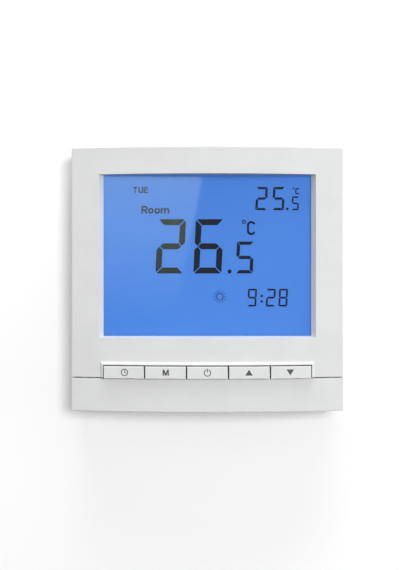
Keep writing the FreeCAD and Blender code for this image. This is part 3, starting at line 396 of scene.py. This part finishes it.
def digit(symbol, left, base, width, height, stroke, gap):
    """A lit digit leaning right, with its lower left corner at left, base; sizes in millimetres."""
    shapes = segment_outlines(width, height, stroke, gap)
    lit = [shapes[letter] for letter in DIGIT_SEGMENTS[symbol]]
    return [[((left + x + z * SLANT) * MM, (base + z) * MM) for x, z in outline] for outline in lit]


def digit_row(places, *sizes):
    """Digits given as (symbol, left, width) that share base, height, stroke and gap, in that order."""
    base, height, stroke, gap = sizes
    return [outline for symbol, left, width in places
            for outline in digit(symbol, left, base, width, height, stroke, gap)]


def scaled(outlines, share):
    return [[(x * share, z * share) for x, z in outline] for outline in outlines]


def in_metres(outlines):
    return scaled(outlines, MM)


def rounded_c(left, base, width, height, stroke):
    """A narrow C: two half rounds and a straight back, open to the right."""
    radius = (width - stroke) / 2
    x, low, high = left + width / 2, base + width / 2, base + height - width / 2
    path = arc_points((x, high), radius, 20, 180, 14) + arc_points((x, low), radius, 180, 340, 14)
    return ribbon(path, stroke)


def sun(centre, radius, reach, width):
    """A ring with twelve rays that start 0.5 mm outside it."""
    rays = []
    for number in range(12):
        angle = math.radians(30 * number)
        rays += ribbon([(centre[0] + r * math.cos(angle), centre[1] + r * math.sin(angle))
                        for r in (radius + 0.5, reach)], width)
    return ring(centre, radius, width) + rays


def pen_paths(symbol, half):
    """The open pen paths of a plain upright letter of height 1, and the letter's width."""
    top, middle = 1 - half, 0.53
    stem = [(half, 0), (half, 1)]
    if symbol == "T":
        return [[(0, top), (0.8, top)], [(0.4, 0), (0.4, 1)]], 0.8
    if symbol == "U":
        bend = arc_points((0.37, 0.37), 0.37 - half, 180, 360, 16)
        return [[(half, 1)] + bend + [(0.74 - half, 1)]], 0.74
    if symbol == "E":
        return [stem] + [[(0, z), (0.68, z)] for z in (half, middle, top)], 0.68
    if symbol == "R":
        low = 0.46
        bend = (top - low) / 2
        bowl = [(half, top)] + arc_points((0.5, low + bend), bend, 90, -90, 12) + [(half, low)]
        return [stem, bowl, [(0.42, low), (0.72, 0)]], 0.78
    rise, bend = 0.73, (0.57 - half) / 2
    arches = [arc_points((left + bend, rise - bend - half), bend, 180, 0, 12) + [(left + 2 * bend, 0)]
              for left in (half, 0.57)]
    return [[(half, 0), (half, rise)]] + arches, 1.14


def capital_m(stroke):
    """Two stems with a slanted stroke down from each to the middle, in units of the letter's height."""
    half, slope, width = stroke / 2, 0.42, 1.07
    stems = ribbon([(half, 0), (half, 1)], stroke) + ribbon([(width - half, 0), (width - half, 1)], stroke)
    slant = [(stroke * 0.3, 1), (slope, 0), (slope + stroke * 1.1, 0), (stroke * 1.25, 1)]
    return stems + [slant, [(width - x, z) for x, z in slant]]


def letter(symbol, stroke):
    """One plain letter of TUE or Room as outlines in units of a capital's height, and its width."""
    if symbol == "o":
        return ring((0.37, 0.36), 0.37 - stroke / 2, stroke), 0.74
    paths, width = pen_paths(symbol, stroke / 2)
    return [strip for path in paths for strip in ribbon(path, stroke)], width


def word(text, left, base, height, stroke, gap):
    """Plain letters set along a line, in metres; stroke and gap are in units of the height."""
    outlines = []
    for symbol in text:
        shape, width = letter(symbol, stroke)
        outlines += [[((left + x * height) * MM, (base + z * height) * MM) for x, z in outline]
                     for outline in shape]
        left += (width + gap) * height
    return outlines


def make_display_figures():
    """Lit figures of the liquid crystal, in the gap between the glass and the window."""
    glass_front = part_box("lcd_front_glass")[0][1]
    window_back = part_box("display_window")[1][1]
    depth = glass_front - (glass_front - window_back) * 0.25
    thickness = (glass_front - window_back) * 0.4
    ink = make_ink_material("display_ink", (0.002, 0.003, 0.005))
    faint = make_ink_material("display_faint_ink", (0.012, 0.05, 0.18))

    def add(name, outlines, material=ink):
        mesh = flat_mesh(name, outlines, lambda x: depth, thickness)
        new_piece(name, mesh, material, "front_unit")

    add("figure_room_units", digit_row([("2", -17.1, 9.22), ("6", -4.65, 9.25)], 1.85, 17.85, 1.95, 0.3))
    add("figure_room_tenths", digit_row([("5", 9.25, 5.65)], 1.9, 10.45, 1.08, 0.2)
        + in_metres(disc((7.3, 2.5), 0.68)))
    add("figure_room_degree", in_metres(ring((12.0, 18.83), 0.52, 0.32)
                                        + rounded_c(13.0, 14.45, 2.85, 4.65, 0.7)))
    add("figure_set_units", digit_row([("2", 15.74, 3.8), ("5", 21.3, 3.85)], 22.66, 7.63, 0.76, 0.13)
        + in_metres(disc((26.25, 23.08), 0.42)))
    add("figure_set_tenths", digit_row([("5", 27.64, 2.33)], 22.67, 4.52, 0.49, 0.08))
    add("figure_set_degree", in_metres(ring((28.39, 29.84), 0.21, 0.18)
                                       + rounded_c(28.9, 27.85, 1.41, 2.16, 0.4)))
    add("figure_clock", digit_row([("9", 13.12, 2.92), ("2", 19.19, 3.02), ("8", 23.34, 2.9)],
                                  -9.01, 5.82, 0.57, 0.09)
        + in_metres(disc((17.86, -5.58), 0.39) + disc((17.86, -7.35), 0.39)))
    add("figure_sun", in_metres(sun((4.08, -5.81), 1.1, 2.05, 0.26)), faint)
    add("figure_day", word("TUE", -24.57, 28.27, 2.04, 0.18, 0.13))
    add("figure_place", word("Room", -21.71, 21.55, 2.5, 0.2, 0.09))


# ---------------------------------------------------------------- legends on the keys

KEY_BOW = 284.6 * MM  # radius of the keys' faces
LEGEND_HEIGHT = -30.05  # the signs' middle, in millimetres
LEGEND_DRAW = 0.99  # the signs stand this share of each key's distance from the middle


def key_front(x):
    """Y of the keys' bowed faces at x; the middle key's face is the foremost point of the bow."""
    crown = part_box("button_power")[0][1]
    return crown + KEY_BOW - math.sqrt(KEY_BOW ** 2 - x ** 2)


def make_key_legends():
    """Printed signs, a hair above each key's face and bowed with it."""
    print_depth = 0.012 * MM
    ink = make_ink_material("legend_ink", (0.075, 0.077, 0.08))
    hands = ribbon([(0, 0.7), (0, -0.12)], 0.24) + ribbon([(0, 0), (0.55, 0)], 0.24)
    clock = ring((0, 0), 1.03, 0.29) + hands
    power = ribbon(arc_points((0, -0.05), 1.03, 114, 426, 36), 0.29) + ribbon([(0, 1.3), (0, 0.1)], 0.29)
    rise = [[(-1.22, -0.93), (1.22, -0.93), (0, 0.97)]]
    fall = [[(x, -z) for x, z in rise[0]]]
    capital = [[(x - 1.0, z - 0.93) for x, z in outline] for outline in scaled(capital_m(0.23), 1.87)]
    signs = {"clock": clock, "mode": capital, "power": power, "up": rise, "down": fall}
    for key, sign in signs.items():
        low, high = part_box("button_" + key)
        centre = (low[0] + high[0]) / 2 / MM * LEGEND_DRAW
        mesh = flat_mesh("legend_" + key, in_metres(moved(sign, centre, LEGEND_HEIGHT)),
                         lambda x: key_front(x) + print_depth / 3, print_depth)
        new_piece("legend_" + key, mesh, ink, "button_" + key)


# ---------------------------------------------------------------- stage, lights and camera

WALL_REACH = 3.0
WALL_DEPTH = 0.2 * MM
WALL_CLEARANCE = 1.0 * MM
WALL_GLOW = 0.06
WORLD_LIGHT = 0.33
WORLD_SLOPE = (0.2, 0.0, 0.2)
LAMPS = (
    ("key_light", (0.32, -1.0, 0.2), (0.3, 0.3), 6.5),
    ("top_light", (0.1, -0.25, 1.2), (0.8, 0.3), 11.0),
    ("left_light", (-1.1, -0.35, 0.1), (0.3, 0.7), 2.2),
    ("right_light", (1.1, -0.35, 0.1), (0.3, 0.7), 1.8),
    ("rear_light", (0.5, 1.2, 0.6), (0.8, 0.8), 14.0),
)
SUN_STRENGTH = 0.22
SUN_ANGLE = math.radians(3)
CARD_DISTANCE = 1.0
CARD_GLOW = 4.0
GLARE_TOP, GLARE_BOTTOM = 36 * MM, -16 * MM  # where the reflection shows on the window
GLARE_EDGE_TOP, GLARE_EDGE_BOTTOM, GLARE_FAR = -1.0 * MM, -11.6 * MM, -90 * MM
CAMERA_DISTANCE = 264 * MM
FOCAL_LENGTH = 48.34
FRAME_SHIFT = (-0.0130, -0.0104)


def in_scene(name, data):
    """An object of the stage, put into the scene."""
    placed = bpy.data.objects.new(name, data)
    bpy.context.scene.collection.objects.link(placed)
    return placed


def wall_material():
    """Pale paint that is clear when seen from behind."""
    nodes = Nodes("wall_paint")
    nodes.surface(Base_Color=(0.87, 0.87, 0.87), Roughness=0.9, Specular_IOR_Level=0.0,
                  Emission_Color=(1.0, 1.0, 1.0), Emission_Strength=WALL_GLOW,
                  Normal=nodes.bump(nodes.noise(0.6 * MM, 2), 0.05, 0.01 * MM))
    clear = nodes.add("ShaderNodeBsdfTransparent")
    behind = nodes.add("ShaderNodeNewGeometry").outputs["Backfacing"]
    mix = nodes.add("ShaderNodeMixShader")
    nodes.link(behind, mix.inputs["Fac"])
    nodes.link(nodes.shader.outputs["BSDF"], mix.inputs[1])
    nodes.link(clear.outputs["BSDF"], mix.inputs[2])
    nodes.link(mix.outputs["Shader"], nodes.output.inputs["Surface"])
    return nodes.material


def make_wall():
    """A wall behind the case, open where the rear housing goes in."""
    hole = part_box("rear_housing")[1][0] + WALL_CLEARANCE
    form = bmesh.new()
    inner, outer = ([form.verts.new((x * reach, WALL_DEPTH, z * reach))
                     for x, z in ((-1, -1), (1, -1), (1, 1), (-1, 1))] for reach in (hole, WALL_REACH))
    for side in range(4):
        following = (side + 1) % 4
        form.faces.new((outer[side], outer[following], inner[following], inner[side]))
    mesh = bpy.data.meshes.new("wall")
    form.to_mesh(mesh)
    form.free()
    mesh.materials.append(wall_material())
    in_scene("wall", mesh)


def sloped_light(tree):
    """A strength of WORLD_LIGHT that grows along WORLD_SLOPE."""
    slope = tree.nodes.new("ShaderNodeVectorMath")
    slope.operation = "DOT_PRODUCT"
    slope.inputs[1].default_value = WORLD_SLOPE
    tree.links.new(tree.nodes.new("ShaderNodeTexCoord").outputs["Generated"], slope.inputs[0])
    rise = tree.nodes.new("ShaderNodeMath")
    rise.operation = "ADD"
    rise.use_clamp = True
    rise.inputs[1].default_value = WORLD_LIGHT
    tree.links.new(slope.outputs["Value"], rise.inputs[0])
    return rise.outputs["Value"]


def make_world():
    """Soft even light from all round, and a pale backdrop for what the wall doesn't cover."""
    world = bpy.data.worlds.new("studio")
    bpy.context.scene.world = world
    world.use_nodes = True
    tree = world.node_tree
    light = tree.nodes["Background"]
    light.inputs["Color"].default_value = (1, 1, 1, 1)
    tree.links.new(sloped_light(tree), light.inputs["Strength"])
    backdrop = tree.nodes.new("ShaderNodeBackground")
    backdrop.inputs["Color"].default_value = (0.92, 0.93, 0.94, 1)
    path = tree.nodes.new("ShaderNodeLightPath")
    mix = tree.nodes.new("ShaderNodeMixShader")
    tree.links.new(path.outputs["Is Camera Ray"], mix.inputs["Fac"])
    tree.links.new(light.outputs["Background"], mix.inputs[1])
    tree.links.new(backdrop.outputs["Background"], mix.inputs[2])
    tree.links.new(mix.outputs["Shader"], tree.nodes["World Output"].inputs["Surface"])


def turned_lamp(name, data, way):
    """A lamp that shines along way."""
    lamp = in_scene(name, data)
    lamp.rotation_euler = Vector(way).to_track_quat("-Z", "Y").to_euler()
    return lamp


def make_lights():
    """Lamps that face the origin; only the one behind the wall shows in what reflects."""
    for name, place, size, power in LAMPS:
        data = bpy.data.lights.new(name, "AREA")
        data.shape = "RECTANGLE"
        data.size, data.size_y = size
        data.energy = power
        lamp = turned_lamp(name, data, -Vector(place))
        lamp.location = place
        lamp.visible_glossy = place[1] > 0
    data = bpy.data.lights.new("front_fill", "SUN")
    data.energy = SUN_STRENGTH
    data.angle = SUN_ANGLE
    turned_lamp("front_fill", data, (0, 1, 0)).visible_glossy = False


def make_glare_card():
    """A lit card in front of the object, fading downwards, that only shows as a reflection."""
    window_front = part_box("display_window")[0][1]
    spread = (2 * window_front + CAMERA_DISTANCE + CARD_DISTANCE) / (window_front + CAMERA_DISTANCE)
    top, bottom, edge_top, edge_bottom, far = (
        size * spread for size in (GLARE_TOP, GLARE_BOTTOM, GLARE_EDGE_TOP, GLARE_EDGE_BOTTOM, GLARE_FAR))
    nodes = Nodes("glare_card")
    split = nodes.add("ShaderNodeSeparateXYZ")
    nodes.link(nodes.place, split.inputs["Vector"])
    strength = nodes.spread(split.outputs["Z"], 0, CARD_GLOW, bottom, top)
    nodes.surface(Base_Color=(0, 0, 0), Roughness=1.0, Specular_IOR_Level=0.0,
                  Emission_Color=(0.85, 1.0, 0.75), Emission_Strength=strength)
    mesh = bpy.data.meshes.new("glare_card")
    corners = ((far, bottom), (edge_bottom, bottom), (edge_top, top), (far, top))
    mesh.from_pydata([(x, -CARD_DISTANCE, z) for x, z in corners], [], [(0, 1, 2, 3)])
    mesh.materials.append(nodes.material)
    card = in_scene("glare_card", mesh)
    for kind in ("camera", "diffuse", "shadow", "transmission", "volume_scatter"):
        setattr(card, "visible_" + kind, False)


def make_camera():
    data = bpy.data.cameras.new("camera")
    data.lens = FOCAL_LENGTH
    data.sensor_width = 36
    data.shift_x, data.shift_y = FRAME_SHIFT
    data.clip_start = 0.01
    camera = in_scene("camera", data)
    camera.location = (0, -CAMERA_DISTANCE, 0)
    camera.rotation_euler = (math.pi / 2, 0, 0)
    bpy.context.scene.camera = camera


# ---------------------------------------------------------------- the scene

bpy.context.scene.view_settings.view_transform = "Standard"
dress_front_unit()
dress_boards_and_metal()
dress_wall_side()
make_display_figures()
make_key_legends()
make_wall()
make_world()
make_lights()
make_glare_card()
make_camera()
